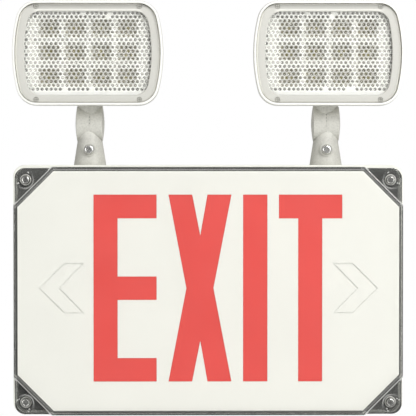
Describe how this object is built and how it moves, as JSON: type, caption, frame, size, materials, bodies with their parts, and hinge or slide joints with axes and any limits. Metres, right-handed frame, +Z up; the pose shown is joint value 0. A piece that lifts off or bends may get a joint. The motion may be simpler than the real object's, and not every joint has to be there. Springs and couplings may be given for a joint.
{
  "type": "emergency exit light",
  "caption": "Wall-mounted exit sign with a sealed clear cover, red cut-out legend, chevron knock-outs and adjustable LED lamp heads on knuckle arms.",
  "frame": {"origin": "centre of the enclosure's flat back face, on the wall plane", "axes": "+Z up, legend and lamps face -Y, +X to the reader's right"},
  "size_m": [0.3228, 0.08, 0.3455],
  "materials": {
    "housing_white": "white moulded polycarbonate, fine satin",
    "gasket_rubber": "dark closed-cell sealing rubber",
    "clear_cover": "clear moulded polycarbonate, glossy, edges read dark grey",
    "screw_steel": "zinc-plated steel, satin",
    "face_white": "white moulded face with fine satin texture",
    "letter_red": "translucent red diffuser",
    "plate_white": "white painted sheet steel",
    "board_white": "white solder mask",
    "led_red": "moulded LED",
    "board_green": "green solder mask",
    "transformer_steel": "laminated core with taped coil",
    "capacitor_black": "sleeved aluminium can",
    "terminal_plastic": "green moulded plastic",
    "battery_sleeve": "blue shrink sleeve",
    "bracket_steel": "zinc-plated sheet steel",
    "switch_black": "black moulded plastic",
    "pilot_lens": "red lens",
    "button_red": "red moulded plastic",
    "stud_steel": "zinc-plated steel",
    "arm_paint": "die-cast, light grey-white powder coat",
    "lamp_white": "white moulded polycarbonate, fine satin",
    "lens_clear": "clear prismatic polycarbonate",
    "seal_silicone": "pale silicone",
    "reflector_white": "white vacuum-metallised plastic",
    "led_phosphor": "LED with yellow phosphor"
  },
  "bodies": {
    "housing": {"housing": "housing_white", "gasket": "gasket_rubber", "clear_cover": "clear_cover", "cover_screws": "screw_steel", "face_panel": "face_white", "letter_diffuser": "letter_red", "reflector_plate": "plate_white", "plate_screws": "screw_steel", "upper_led_strip": "board_white", "lower_led_strip": "board_white", "sign_leds": "led_red", "control_board": "board_green", "board_screws": "screw_steel", "transformer": "transformer_steel", "capacitors": "capacitor_black", "terminal_block": "terminal_plastic", "battery_pack": "battery_sleeve", "battery_bracket": "bracket_steel", "bracket_screws": "screw_steel", "wire_grommet": "gasket_rubber", "test_switch": "switch_black", "switch_nut": "screw_steel", "pilot_light": "pilot_lens", "left_swivel_stud": "stud_steel", "left_stud_nut": "stud_steel", "left_seal_ring": "gasket_rubber", "right_swivel_stud": "stud_steel", "right_stud_nut": "stud_steel", "right_seal_ring": "gasket_rubber"},
    "test_button": {"test_button": "button_red"},
    "left_swivel": {"left_swivel_base": "arm_paint", "left_lock_screw": "screw_steel", "left_pivot_screw": "screw_steel", "left_pivot_nut": "screw_steel"},
    "left_lamp": {"left_neck": "arm_paint", "left_neck_nut": "stud_steel", "left_shell": "lamp_white", "left_bezel": "lamp_white", "left_bezel_screws": "screw_steel", "left_lens": "lens_clear", "left_lens_gasket": "seal_silicone", "left_reflector": "reflector_white", "left_leds": "led_phosphor", "left_led_board": "board_white"},
    "right_swivel": {"right_swivel_base": "arm_paint", "right_lock_screw": "screw_steel", "right_pivot_screw": "screw_steel", "right_pivot_nut": "screw_steel"},
    "right_lamp": {"right_neck": "arm_paint", "right_neck_nut": "stud_steel", "right_shell": "lamp_white", "right_bezel": "lamp_white", "right_bezel_screws": "screw_steel", "right_lens": "lens_clear", "right_lens_gasket": "seal_silicone", "right_reflector": "reflector_white", "right_leds": "led_phosphor", "right_led_board": "board_white"}
  },
  "joints": [
    {"name": "left_pan", "type": "hinge", "parent": "housing", "child": "left_swivel", "pos_m": [-0.099, -0.031, 0.1032], "axis": [0, 0, 1], "range_deg": [-90, 90]},
    {"name": "left_tilt", "type": "hinge", "parent": "left_swivel", "child": "left_lamp", "pos_m": [-0.099, -0.031, 0.138], "axis": [1, 0, 0], "range_deg": [-10, 50]},
    {"name": "right_pan", "type": "hinge", "parent": "housing", "child": "right_swivel", "pos_m": [0.099, -0.031, 0.1032], "axis": [0, 0, 1], "range_deg": [-90, 90]},
    {"name": "right_tilt", "type": "hinge", "parent": "right_swivel", "child": "right_lamp", "pos_m": [0.099, -0.031, 0.138], "axis": [1, 0, 0], "range_deg": [-10, 50]},
    {"name": "test_press", "type": "slide", "parent": "housing", "child": "test_button", "axis": [0, 0, 1], "range_m": [0, 0.0025], "stiffness_N_per_m": 500, "springref_m": -0.0015}
  ]
}
